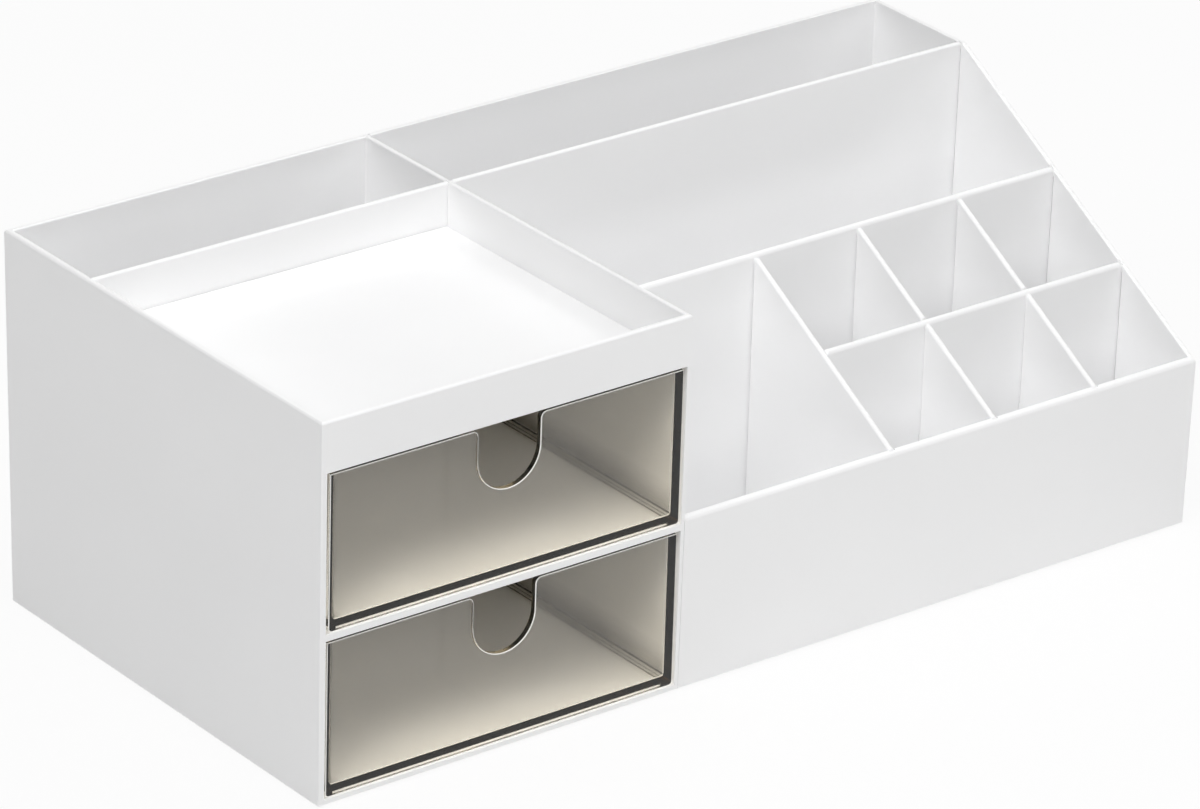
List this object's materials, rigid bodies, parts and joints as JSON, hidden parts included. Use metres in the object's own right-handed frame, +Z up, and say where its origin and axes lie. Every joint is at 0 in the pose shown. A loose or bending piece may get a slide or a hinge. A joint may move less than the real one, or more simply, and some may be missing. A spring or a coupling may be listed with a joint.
{
  "type": "makeup organizer",
  "caption": "White desk organizer: a tower with clear smoky drawers and a tray on top, joined to an open caddy with a sloped side, long dividers and small cells.",
  "frame": {"origin": "middle of the underside, at the level on which the foot pads stand", "axes": "+X to the right seen from the front, -Y out of the front with the drawers, +Z up"},
  "size_m": [0.32, 0.1556, 0.1182],
  "materials": {
    "white_moulding": "fine satin moulding",
    "smoky_clear": "clear moulding with a warm grey tint",
    "pad": "matte"
  },
  "bodies": {
    "organizer": {"tower_housing": "white_moulding", "tower_partition": "white_moulding", "tray_floor": "white_moulding", "caddy_tub": "white_moulding", "rear_divider": "white_moulding", "middle_divider": "white_moulding", "row_divider": "white_moulding", "column_divider_left": "white_moulding", "column_divider_centre": "white_moulding", "column_divider_right": "white_moulding", "foot_pads": "pad"},
    "upper_drawer_body": {"upper_drawer": "smoky_clear"},
    "lower_drawer_body": {"lower_drawer": "smoky_clear"}
  },
  "joints": [
    {"name": "upper_drawer_slide", "type": "slide", "parent": "organizer", "child": "upper_drawer_body", "axis": [0, -1, 0], "range_m": [0, 0.09]},
    {"name": "lower_drawer_slide", "type": "slide", "parent": "organizer", "child": "lower_drawer_body", "axis": [0, -1, 0], "range_m": [0, 0.09]}
  ]
}
